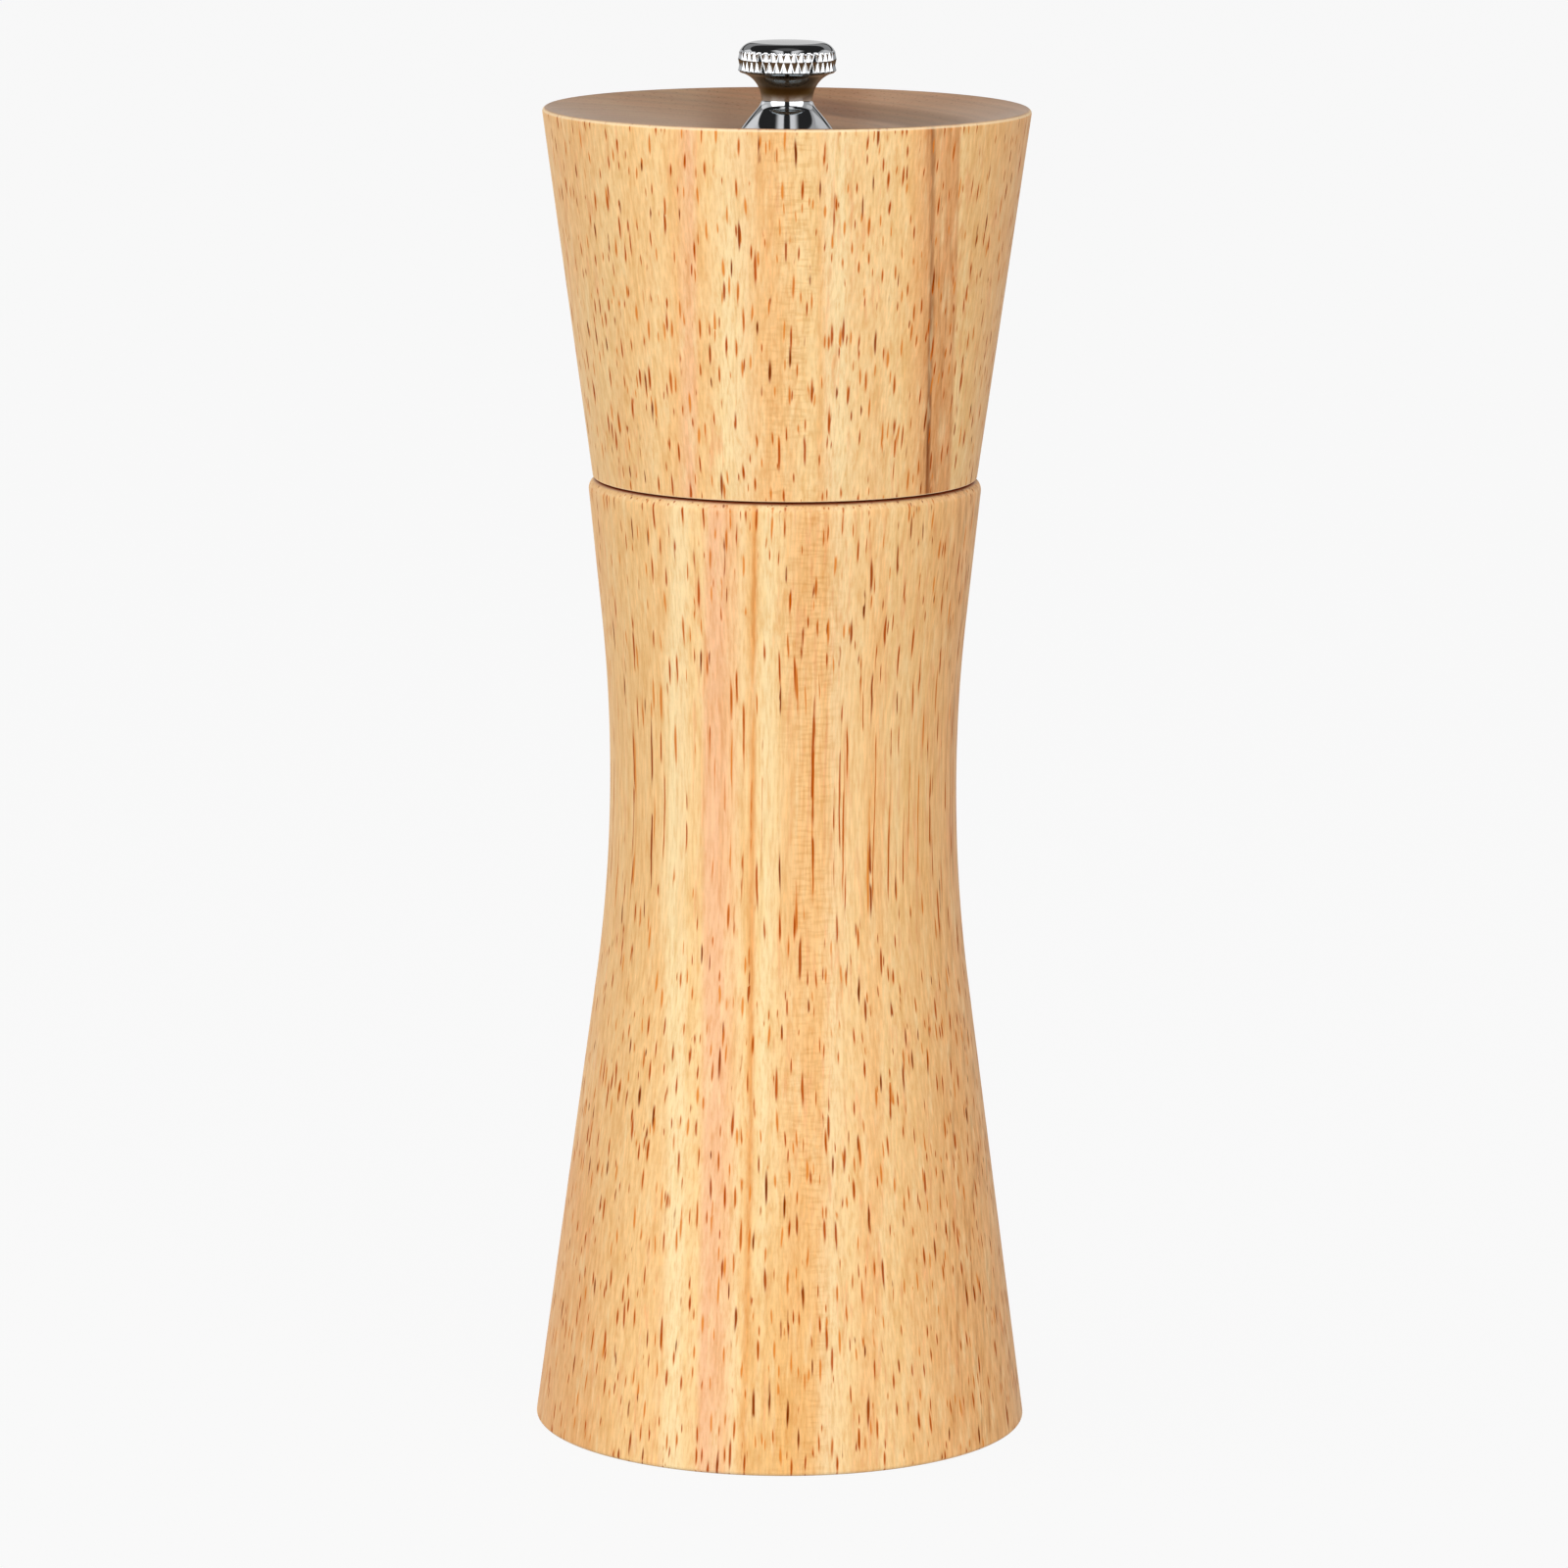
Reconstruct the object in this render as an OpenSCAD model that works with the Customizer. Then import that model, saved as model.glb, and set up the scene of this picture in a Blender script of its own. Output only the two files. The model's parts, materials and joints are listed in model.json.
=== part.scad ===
// Pepper mill with a turned wooden body and head, a knurled metal knob and a ceramic grinder.
// Millimetres. The origin is the centre of the base and +Z is up along the mill's axis.

/* [Wooden body] */
// Height of the body's top face
body_h = 119.5; // [116:0.1:122]
// Height of the waist, where the body is narrowest
waist_z = 82; // [76:0.5:88]
// Radius at the waist
waist_r = 21.6; // [21:0.1:23]
// Radius of the curve that joins the two straight flares
waist_curve_r = 195; // [150:1:240]
// Sideways run per unit of height of the lower flare
lower_flare = 0.1336; // [0.12:0.001:0.15]
// Sideways run per unit of height of the upper flare
upper_flare = 0.104; // [0.09:0.001:0.12]
// Rounding of the base's outer edge
base_edge_r = 0.5; // [0.3:0.1:1.5]
// Rounding of the top's outer edge
body_edge_r = 1.3; // [0.8:0.1:1.6]
// Radius of the pepper chamber
chamber_r = 13.5; // [12.5:0.1:14]

/* [Wooden head] */
// Gap between body and head, where the seam shows
seam_gap = 0.2; // [0.2:0.05:0.6]
// Radius of the head's lower edge
head_foot_r = 23.79; // [23:0.01:24.5]
// Height of the rim
rim_z = 165.35; // [163:0.05:168]
// Radius that the head's side reaches at the rim
rim_r = 30.14; // [29:0.01:31.5]
// Rounding of the rim
rim_edge_r = 0.5; // [0.3:0.1:0.8]
// Rounding of the lower edge
head_edge_r = 0.3; // [0.2:0.1:0.6]
// Depth of the dished top below the rim
dish_depth = 3.6; // [3:0.1:4.5]
// Radius of the flat spot in the dish, where the knob sits
dish_flat_r = 6.6; // [6.4:0.1:7.5]
// Radius of the tenon that turns in the body
tenon_r = 14.75; // [14:0.05:14.9]
// Length of the tenon
tenon_l = 9; // [8:0.5:10]

/* [Knob] */
// Radius over the knurling
knob_r = 6.05; // [5.8:0.05:6.4]
// Height of the knob above its seat
knob_h = 11.45; // [11.2:0.05:12.4]
// Radius of the narrow neck
knob_neck_r = 3.2; // [3.1:0.05:3.6]
// Radius of the foot
knob_foot_r = 6.2; // [5.6:0.05:6.4]
// Number of knurls around the knob
knurl_count = 40; // [24:2:48]
// Depth of the knurls
knurl_depth = 0.28; // [0.1:0.02:0.35]

/* [Drive shaft] */
// Width of the square shaft across its flats
shaft_w = 5; // [4.8:0.1:5.2]
// Outer radius of its threaded end
thread_r = 2.5; // [2.3:0.05:2.5]
// Height of the threaded end's tip
shaft_top_z = 170.5; // [169:0.1:170.7]
// Height where the square part ends
square_top_z = 153; // [140:1:154]

/* [Grinder] */
// Depth of the recess in the base
recess_h = 7.5; // [7.2:0.1:9]
// Radius of the recess in the base
recess_r = 22.25; // [22.2:0.05:23]
// Radius of the housing's flange
flange_r = 22; // [21.9:0.05:22.1]
// Outer radius of the housing's sleeve
sleeve_r = 18.8; // [18.6:0.05:18.9]
// Height of the housing's top
housing_top_z = 34; // [33.5:0.1:35]
// Number of arms that hold the hub
arm_count = 3; // [3:1:4]
// Radius of the rotor's wide end
rotor_r = 12.3; // [12:0.1:12.4]
// Radius of the rotor's narrow end
rotor_top_r = 7.4; // [7.2:0.1:7.8]
// Height of the conical part of the rotor
rotor_cone_h = 11; // [10.5:0.1:11.5]
// Gap between rotor and stator as stored
grind_gap = 0.45; // [0.42:0.01:0.6]
// Number of wide breaker grooves in each cone
breaker_count = 6; // [4:1:8]
// Number of fine grooves in each cone
fine_count = 30; // [20:1:36]
// Slant of the grooves
groove_slant = 24; // [10:1:30]

/* [Spring] */
// Mean radius of the coils
spring_r = 5.1; // [4.8:0.1:5.3]
// Radius of the wire
wire_r = 0.45; // [0.3:0.05:0.5]
// Number of turns
spring_turns = 5.5; // [4:0.5:7]

/* [Fasteners] */
// Number of screws that hold the housing
housing_screw_count = 3; // [2:1:4]
// Radius of a housing screw's shank
housing_screw_r = 1; // [0.8:0.1:1.1]
// Radius of a drive plate screw's shank
plate_screw_r = 1.4; // [1.2:0.1:1.5]
// Radius of the screw in the shaft's lower end
end_screw_r = 1.5; // [1.3:0.1:1.6]

/* [Hidden] */
$fn = 96;

turned_wood = "#edc892";
black_nylon = "#26262a";
white_ceramic = "#ece8dd";
bright_steel = "#c3c6ca";
soft_aluminium = "#b9bcbf";
polished_chrome = "#d9dcdf";

cut = 1;                // how far a cutter passes a face
running_gap = 0.05;     // between faces that turn on each other
fitting_gap = 0.1;      // between a pushed-on piece and what it sits on
bore_gap = 0.2;         // between the housing and the body's bore
turning_gap = 0.3;      // between a turning or sliding piece and its neighbours
arc_steps = 6;          // chords in a rounded edge
waist_steps = 14;       // chords in the waist's long curve
dish_steps = 10;        // chords in the dished top
throat_steps = 10;      // chords in the knob's throat

// Body
bore_r = sleeve_r + bore_gap;
bore_top_z = housing_top_z + 1;
socket_r = 16.1;
socket_depth = 12.3;
socket_bottom_z = body_h - socket_depth;
bush_flange_r = 19;
bush_flange_h = 1.2;
bush_bore_r = tenon_r + turning_gap;

// Head
head_bottom_z = body_h + seam_gap;
bush_top_z = head_bottom_z - running_gap;
tenon_bottom_z = head_bottom_z - tenon_l;
shaft_bore_r = 4;
dish_rim_r = rim_r - rim_edge_r;
dish_z = rim_z - dish_depth;
dish_curve_r = (dish_rim_r * dish_rim_r + dish_depth * dish_depth) / (2 * dish_depth);
seat_z = dish_z + dish_curve_r - sqrt(dish_curve_r * dish_curve_r - dish_flat_r * dish_flat_r);
ferrule_r = 5;
ferrule_h = 6;
ferrule_bore_r = thread_r + turning_gap;

// Knob
knob_z = seat_z + running_gap;
knob_top_z = knob_z + knob_h;
knob_foot_h = 0.32;
knob_crown = 0.1;
crown_r = 1.9;
neck_z = knob_z + 4.4;
neck_corner_z = neck_z - 0.65;
neck_fillet_r = 1.7;
throat_r = 3.4;
shoulder_lip = 0.25;
throat_end = acos((knob_neck_r + throat_r - knob_r + shoulder_lip) / throat_r);
knurl_low_z = neck_z + throat_r * sin(throat_end) + shoulder_lip;
knurl_high_z = knob_top_z - 1;
thread_bore_r = thread_r + running_gap;
thread_bore_top_z = knob_top_z - 1.8;

// Drive plate
plate_r = 11;
plate_h = 1.5;
plate_hole_w = shaft_w + turning_gap;
plate_z = tenon_bottom_z - plate_h;
plate_screw_at = 8;
plate_screw_l = 8;
plate_screw_head_r = 2.6;
plate_screw_head_h = 1.3;

// Housing
flange_z = 5;
retainer_r = 17.4;
retainer_bore_r = 13.6;
retainer_notches = 3;
notch_w = 2.4;
stator_r = 16.3;
retainer_h = 2;
stator_z = flange_z + retainer_h;
stator_h = 12;
ledge_r = 14.5;
ledge_h = 1.5;
inlet_r = 15.6;
hub_r = 6.5;
hub_h = 4;
hub_bore_r = shaft_w / sqrt(2) + turning_gap;
arm_w = 3;
arm_h = 3;
arm_overlap = 0.8;
housing_screw_at = 20.3;
housing_screw_head_r = 1.6;
housing_screw_head_h = 1.2;
housing_screw_l = 11;

// Rotor and its core, stacked upwards
rotor_z = 6;
rotor_band_h = 1.5;
cone_z = rotor_z + rotor_band_h;
rotor_top_z = cone_z + rotor_cone_h;
cone_taper = (rotor_r - rotor_top_r) / rotor_cone_h;
cone_angle = atan(cone_taper);
core_r = 5;
core_top_z = 20;
core_flange_r = 8;
core_flange_h = 1.4;
core_hole_w = shaft_w + fitting_gap;
key_w = 1.8;
key_r = 6.2;
key_h = 3;
washer_h = 0.6;
washer_r = 5;
cup_h = 0.6;
cup_wall = 0.5;
cup_lip_h = 1.1;
cup_r = 6.6;
spring_low_z = core_top_z + cup_h;
thrust_h = 0.6;
thrust_r = 6.2;
spring_high_z = housing_top_z - hub_h - running_gap - thrust_h;
shaft_z = rotor_z - core_flange_h;
end_screw_head_r = 2.9;
end_screw_head_h = 1.7;
end_screw_l = 10;
clip_r = 5.6;
clip_h = 0.8;
clip_rise = 2;
clip_z = housing_top_z + clip_rise;
clip_groove_r = 2.1;
clip_mouth = 3.6;

// Grooves in the grinding cones
breaker_w = 2.6;
breaker_l = 13;
fine_w = 0.75;
fine_l = 8;
stator_fine_z = stator_z + 3.2;
rotor_fine_z = cone_z + 3;

// Screw heads, as shares of the head's radius or height
head_chamfer = 0.82;
drive_slot_w = 0.32;
drive_slot_l = 1.3;
drive_slot_h = 0.5;

// Threaded end of the shaft
tip_h = thread_r / 4;
tip_r = thread_r - tip_h;

// Spring
wire_sides = 8;
steps_per_turn = 20;
end_closing = 20;       // 0 gives an even pitch

function unit(v) = v / norm(v);

// Points of an arc about c, from angle a0 to angle a1.
function arc(c, r, a0, a1, n) =
    [for (i = [0:n]) let (a = a0 + (a1 - a0) * i / n) c + r * [cos(a), sin(a)]];

// Points that round the corner at b, between its neighbours a and c, to radius r.
function rounded(a, b, c, r, n = arc_steps) =
    let (
        u = unit(a - b),
        v = unit(c - b),
        half = acos(u * v) / 2,
        centre = b + unit(u + v) * r / sin(half),
        p = b + u * r / tan(half) - centre,
        q = b + v * r / tan(half) - centre,
        a0 = atan2(p.y, p.x),
        turn = (atan2(q.y, q.x) - a0 + 540) % 360 - 180
    )
    arc(centre, r, a0, a0 + turn, n);

// Outline of the body's outer side, from the base's edge to the top face's edge.
function body_side() =
    let (
        centre = [waist_r + waist_curve_r, waist_z],
        low = atan(lower_flare),
        high = atan(upper_flare),
        low_point = centre - waist_curve_r * [cos(low), sin(low)],
        high_point = centre - waist_curve_r * [cos(high), -sin(high)],
        foot = [low_point.x + lower_flare * low_point.y, 0],
        brim = [high_point.x + upper_flare * (body_h - high_point.y), body_h]
    )
    concat(
        rounded([recess_r, 0], foot, low_point, base_edge_r),
        arc(centre, waist_curve_r, 180 + low, 180 - high, waist_steps),
        rounded(high_point, brim, [bush_flange_r, body_h], body_edge_r));

module ring(outer_r, inner_r, z, h) {
    translate([0, 0, z])
        difference() {
            cylinder(r = outer_r, h = h);
            translate([0, 0, -cut]) cylinder(r = inner_r, h = h + 2 * cut);
        }
}

module square_post(w, z, h) {
    translate([-w / 2, -w / 2, z]) cube([w, w, h]);
}

module around(count, r) {
    for (i = [0:count - 1]) rotate([0, 0, 360 * i / count]) translate([r, 0, 0]) children();
}

// A pan-head screw that points up, its head below z.
module screw(z, shank_r, shank_l, head_r, head_h) {
    slot_w = head_r * drive_slot_w;
    slot_l = head_r * drive_slot_l;
    slot_h = head_h * drive_slot_h;
    difference() {
        union() {
            translate([0, 0, z - head_h / 2]) cylinder(r = head_r, h = head_h / 2);
            translate([0, 0, z - head_h])
                cylinder(r1 = head_r * head_chamfer, r2 = head_r, h = head_h / 2);
            translate([0, 0, z]) cylinder(r = shank_r, h = shank_l);
        }
        for (a = [0, 90])
            rotate([0, 0, a])
                translate([-slot_l / 2, -slot_w / 2, z - head_h - cut])
                    cube([slot_l, slot_w, slot_h + cut]);
    }
}

// Straight V-shaped cutters laid along a cone's side, slanted the same way.
module cone_grooves(count, r, z, w, l) {
    around(count, r)
        translate([0, 0, z])
            rotate([0, -cone_angle, 0])
                rotate([groove_slant, 0, 0])
                    rotate([0, 0, 45])
                        cube([w, w, l], center = true);
}

function cone_r_at(z) = rotor_r - cone_taper * (z - cone_z);

module body_shell() {
    color(turned_wood)
        difference() {
            rotate_extrude()
                polygon(concat(
                    [[recess_r, 0]],
                    body_side(),
                    [[bush_flange_r, body_h],
                     [bush_flange_r, bush_top_z - bush_flange_h],
                     [socket_r, bush_top_z - bush_flange_h],
                     [socket_r, socket_bottom_z],
                     [chamber_r, socket_bottom_z],
                     [chamber_r, bore_top_z],
                     [bore_r, bore_top_z],
                     [bore_r, recess_h],
                     [recess_r, recess_h]]));
            around(housing_screw_count, housing_screw_at)
                translate([0, 0, flange_z])
                    cylinder(r = housing_screw_r, h = housing_screw_l + housing_screw_head_h);
        }
}

module neck_bush() {
    color(black_nylon) {
        difference() {
            union() {
                ring(bush_flange_r, bush_bore_r, bush_top_z - bush_flange_h, bush_flange_h);
                ring(socket_r, bush_bore_r, socket_bottom_z,
                     bush_top_z - bush_flange_h - socket_bottom_z);
            }
            translate([0, 0, bush_top_z - cut / 2])
                cylinder(r1 = bush_bore_r, r2 = bush_bore_r + cut, h = cut);
        }
    }
}

module mill_housing() {
    color(black_nylon)
        difference() {
            union() {
                rotate_extrude()
                    polygon([[retainer_r, flange_z],
                             [flange_r, flange_z],
                             [flange_r, recess_h],
                             [sleeve_r, recess_h],
                             [sleeve_r, housing_top_z],
                             [inlet_r, housing_top_z],
                             [inlet_r, stator_z + stator_h + ledge_h],
                             [ledge_r, stator_z + stator_h + ledge_h],
                             [ledge_r, stator_z + stator_h],
                             [stator_r, stator_z + stator_h],
                             [stator_r, stator_z],
                             [retainer_r, stator_z]]);
                translate([0, 0, housing_top_z - hub_h]) cylinder(r = hub_r, h = hub_h);
                for (i = [0:arm_count - 1])
                    rotate([0, 0, 360 * i / arm_count])
                        translate([0, -arm_w / 2, housing_top_z - arm_h])
                            cube([inlet_r + arm_overlap, arm_w, arm_h]);
            }
            translate([0, 0, housing_top_z - hub_h - cut])
                cylinder(r = hub_bore_r, h = hub_h + 2 * cut);
            around(housing_screw_count, housing_screw_at) {
                translate([0, 0, flange_z - cut])
                    cylinder(r = housing_screw_head_r, h = housing_screw_head_h + cut);
                translate([0, 0, flange_z]) cylinder(r = housing_screw_r, h = recess_h);
            }
        }
}

module housing_screws() {
    color(bright_steel)
        around(housing_screw_count, housing_screw_at)
            screw(flange_z + housing_screw_head_h, housing_screw_r, housing_screw_l,
                  housing_screw_head_r, housing_screw_head_h);
}

module stator_ring() {
    color(white_ceramic)
        difference() {
            rotate_extrude()
                polygon([[cone_r_at(stator_z) + grind_gap, stator_z],
                         [stator_r, stator_z],
                         [stator_r, stator_z + stator_h],
                         [cone_r_at(stator_z + stator_h) + grind_gap, stator_z + stator_h]]);
            cone_grooves(breaker_count, cone_r_at(rotor_top_z) + grind_gap, rotor_top_z,
                         breaker_w, breaker_l);
            cone_grooves(fine_count, cone_r_at(stator_fine_z) + grind_gap, stator_fine_z,
                         fine_w, fine_l);
        }
}

module stator_retainer() {
    color(black_nylon)
        difference() {
            ring(retainer_r, retainer_bore_r, flange_z, retainer_h);
            around(retainer_notches, retainer_r)
                translate([0, 0, flange_z])
                    cube([2 * notch_w, notch_w, notch_w], center = true);
        }
}

module thrust_washer() {
    color(bright_steel) ring(thrust_r, hub_bore_r, spring_high_z, thrust_h);
}

// Compression coil with closed ends: the wire climbs slowly at first and at last.
module spring() {
    steps = spring_turns * steps_per_turn;
    low = spring_low_z + wire_r;
    rise = spring_high_z - wire_r - low;
    function climb(t) = low + rise * (t - end_closing * sin(360 * t) / 360);
    points = [for (i = [0:steps]) for (j = [0:wire_sides - 1])
        let (
            a = 360 * i / steps_per_turn,
            b = 360 * j / wire_sides,
            r = spring_r + wire_r * cos(b)
        )
        [r * cos(a), r * sin(a), climb(i / steps) + wire_r * sin(b)]];
    last = steps * wire_sides;
    color(bright_steel)
        polyhedron(
            points = points,
            faces = concat(
                [[for (j = [0:wire_sides - 1]) j]],
                [for (i = [0:steps - 1]) for (j = [0:wire_sides - 1])
                    let (k = (j + 1) % wire_sides, at = i * wire_sides)
                    [at + j, at + wire_sides + j, at + wire_sides + k, at + k]],
                [[for (j = [wire_sides - 1:-1:0]) last + j]]));
}

module drive_shaft() {
    color(soft_aluminium)
        difference() {
            union() {
                square_post(shaft_w, shaft_z, square_top_z - shaft_z);
                translate([0, 0, square_top_z])
                    cylinder(r = thread_r, h = shaft_top_z - square_top_z - tip_h);
                translate([0, 0, shaft_top_z - tip_h])
                    cylinder(r1 = thread_r, r2 = tip_r, h = tip_h);
            }
            translate([0, 0, shaft_z - cut]) cylinder(r = end_screw_r, h = end_screw_l + 2 * cut);
            ring(shaft_w, clip_groove_r, clip_z, clip_h);
        }
}

module shaft_clip() {
    color(bright_steel)
        difference() {
            ring(clip_r, clip_groove_r, clip_z, clip_h);
            translate([0, -clip_mouth / 2, clip_z - cut])
                cube([clip_r + cut, clip_mouth, clip_h + 2 * cut]);
        }
}

module spring_cup() {
    color(bright_steel) {
        rotate_extrude()
            polygon([[hub_bore_r, core_top_z],
                     [cup_r, core_top_z],
                     [cup_r, core_top_z + cup_lip_h],
                     [cup_r - cup_wall, core_top_z + cup_lip_h],
                     [cup_r - cup_wall, core_top_z + cup_h],
                     [hub_bore_r, core_top_z + cup_h]]);
    }
}

module rotor_core() {
    color(black_nylon)
        difference() {
            union() {
                translate([0, 0, shaft_z]) cylinder(r = core_flange_r, h = core_flange_h);
                translate([0, 0, rotor_z]) cylinder(r = core_r, h = core_top_z - rotor_z);
                translate([-key_r, -key_w / 2, rotor_z]) cube([2 * key_r, key_w, key_h]);
            }
            square_post(core_hole_w, shaft_z - cut, core_top_z - shaft_z + 2 * cut);
        }
}

module rotor() {
    color(white_ceramic)
        difference() {
            rotate_extrude()
                polygon([[core_r, rotor_z],
                         [rotor_r, rotor_z],
                         [rotor_r, cone_z],
                         [rotor_top_r, rotor_top_z],
                         [core_r, rotor_top_z]]);
            translate([-key_r, -key_w / 2, rotor_z - cut]) cube([2 * key_r, key_w, key_h + cut]);
            cone_grooves(breaker_count, rotor_top_r, rotor_top_z, breaker_w, breaker_l);
            cone_grooves(fine_count, cone_r_at(rotor_fine_z), rotor_fine_z, fine_w, fine_l);
        }
}

module rotor_washer() {
    color(bright_steel) ring(washer_r, end_screw_r, shaft_z - washer_h, washer_h);
}

module rotor_screw() {
    color(bright_steel)
        screw(shaft_z - washer_h, end_screw_r, end_screw_l, end_screw_head_r, end_screw_head_h);
}

module head_shell() {
    sphere_z = dish_z + dish_curve_r;
    flat_angle = asin(dish_flat_r / dish_curve_r);
    rim_angle = asin(dish_rim_r / dish_curve_r);
    foot = [head_foot_r, head_bottom_z];
    rim = [rim_r, rim_z];
    color(turned_wood)
        difference() {
            rotate_extrude()
                polygon(concat(
                    [[shaft_bore_r, tenon_bottom_z],
                     [tenon_r, tenon_bottom_z],
                     [tenon_r, head_bottom_z]],
                    rounded([tenon_r, head_bottom_z], foot, rim, head_edge_r),
                    rounded(foot, rim, [0, rim_z], rim_edge_r),
                    arc([0, sphere_z], dish_curve_r, 270 + rim_angle, 270 + flat_angle,
                        dish_steps),
                    [[ferrule_r, seat_z],
                     [ferrule_r, seat_z - ferrule_h],
                     [shaft_bore_r, seat_z - ferrule_h]]));
            around(2, plate_screw_at)
                translate([0, 0, tenon_bottom_z - cut])
                    cylinder(r = plate_screw_r, h = plate_screw_l - plate_h + cut);
        }
}

module top_ferrule() {
    color(bright_steel) ring(ferrule_r, ferrule_bore_r, seat_z - ferrule_h, ferrule_h);
}

module drive_plate() {
    color(bright_steel)
        difference() {
            translate([0, 0, plate_z]) cylinder(r = plate_r, h = plate_h);
            square_post(plate_hole_w, plate_z - cut, plate_h + 2 * cut);
            around(2, plate_screw_at)
                translate([0, 0, plate_z - cut])
                    cylinder(r = plate_screw_r, h = plate_h + 2 * cut);
        }
}

module drive_plate_screws() {
    color(bright_steel)
        around(2, plate_screw_at)
            screw(plate_z, plate_screw_r, plate_screw_l, plate_screw_head_r, plate_screw_head_h);
}

module knob() {
    foot_top = [knob_foot_r, knob_z + knob_foot_h];
    brow = [knob_r, knob_top_z - knob_crown];
    color(polished_chrome)
        difference() {
            rotate_extrude()
                polygon(concat(
                    [[0, knob_z], [knob_foot_r, knob_z], foot_top],
                    rounded(foot_top, [knob_neck_r, neck_corner_z], [knob_neck_r, neck_z],
                            neck_fillet_r),
                    arc([knob_neck_r + throat_r, neck_z], throat_r, 180, 180 - throat_end,
                        throat_steps),
                    [[knob_r, knurl_low_z]],
                    rounded([knob_r, knurl_low_z], brow, [0, knob_top_z], crown_r),
                    [[0, knob_top_z]]));
            translate([0, 0, knurl_low_z])
                linear_extrude(knurl_high_z - knurl_low_z)
                    difference() {
                        circle(r = knob_r + cut);
                        polygon([for (i = [0:2 * knurl_count - 1])
                            let (a = 180 * i / knurl_count,
                                 r = knob_r - (i % 2 == 0 ? 0 : knurl_depth))
                            r * [cos(a), sin(a)]]);
                    }
            translate([0, 0, knob_z - cut])
                cylinder(r = thread_bore_r, h = thread_bore_top_z - knob_z + cut);
        }
}

body_shell();
neck_bush();
mill_housing();
housing_screws();
stator_ring();
stator_retainer();
thrust_washer();
spring();
drive_shaft();
shaft_clip();
spring_cup();
rotor_core();
rotor();
rotor_washer();
rotor_screw();
head_shell();
top_ferrule();
drive_plate();
drive_plate_screws();
knob();
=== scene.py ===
import json
import math

import bmesh
import bpy
from mathutils import Euler, Matrix, Vector

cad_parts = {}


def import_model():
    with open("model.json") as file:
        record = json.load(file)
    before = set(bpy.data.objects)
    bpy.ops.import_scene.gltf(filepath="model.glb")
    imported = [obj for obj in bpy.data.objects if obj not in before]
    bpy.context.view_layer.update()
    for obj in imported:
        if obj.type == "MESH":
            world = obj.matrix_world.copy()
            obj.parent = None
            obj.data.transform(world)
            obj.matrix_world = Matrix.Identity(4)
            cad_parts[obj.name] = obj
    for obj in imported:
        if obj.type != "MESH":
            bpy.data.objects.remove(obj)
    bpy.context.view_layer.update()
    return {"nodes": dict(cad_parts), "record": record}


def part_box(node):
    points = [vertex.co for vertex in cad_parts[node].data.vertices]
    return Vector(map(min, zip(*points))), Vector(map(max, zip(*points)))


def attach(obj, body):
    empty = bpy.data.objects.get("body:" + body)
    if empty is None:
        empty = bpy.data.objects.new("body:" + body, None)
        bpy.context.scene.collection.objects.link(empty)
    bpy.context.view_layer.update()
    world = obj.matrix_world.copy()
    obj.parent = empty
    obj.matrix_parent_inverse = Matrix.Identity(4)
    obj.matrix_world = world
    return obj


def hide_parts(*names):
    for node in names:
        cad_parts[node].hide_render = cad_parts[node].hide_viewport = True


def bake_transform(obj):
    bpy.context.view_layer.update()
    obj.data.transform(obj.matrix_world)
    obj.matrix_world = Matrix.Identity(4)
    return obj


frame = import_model()

MM = 0.001  # the frame is in metres; the sizes and grain below are in millimetres

# The turned body, as the CAD model has it. A flare is millimetres outwards per millimetre along Z.
WAIST_Z = 82.0
WAIST_R = 21.6
WAIST_CURVE_R = 195.0
LOWER_FLARE = 0.1336
UPPER_FLARE = 0.104
BASE_EDGE_R = 0.5
BODY_EDGE_R = 1.3
CHAMBER_R = 13.5
RECESS_H = 7.5
RECESS_GAP = 0.25
RECESS_CHAMFER = 0.3
HOUSING_BORE_R = 19.0
HOUSING_HEADROOM = 1.0
BUSH_SOCKET_R = 16.1
BUSH_FLANGE_H = 1.2

# The turned head
RIM_R = 30.14
RIM_EDGE_R = 0.5
HEAD_FOOT_R = 23.79
HEAD_EDGE_R = 0.2
DISH_DEPTH = 3.6
DISH_FLAT_R = 6.6
TENON_R = 14.75
TENON_L = 9.0
TENON_CHAMFER = 0.4
SHAFT_BORE_R = 4.0

# The knob, from its foot up
KNOB_CHAMFER = 0.12
KNOB_FOOT_H = 0.32
NECK_H = 4.4
NECK_CORNER_DROP = 0.65
NECK_FILLET_R = 1.7
KNOB_NECK_R = 3.2
THROAT_R = 3.4
SHOULDER_LIP = 0.25
KNOB_R = 6.05
CROWN_R = 1.9
KNOB_CROWN = 0.1
KNOB_CAP_T = 1.8
THREAD_BORE_R = 2.55
KNURLS = 40
KNURL_DEPTH = 0.3
KNURL_BAND_H = 2.8

# The spring
SPRING_TURNS = 5.5
WIRE_R = 0.45
END_TURN_PITCH = math.radians(20)

# Mesh fineness
TURNED_SEGMENTS = 256
KNURL_SEGMENTS = KNURLS * 12
COIL_SEGMENTS = 48
WIRE_SEGMENTS = 12
SHARP_DEGREES = 35


# ---------------------------------------------------------------- outlines and meshes

def box_mm(node):
    low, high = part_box(node)
    return low / MM, high / MM


def arc(centre, radius, start, end, steps):
    """Points of an arc about centre, from angle start to angle end, in degrees."""
    points = []
    for i in range(steps + 1):
        a = math.radians(start + (end - start) * i / steps)
        points.append((centre[0] + radius * math.cos(a), centre[1] + radius * math.sin(a)))
    return points


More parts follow.
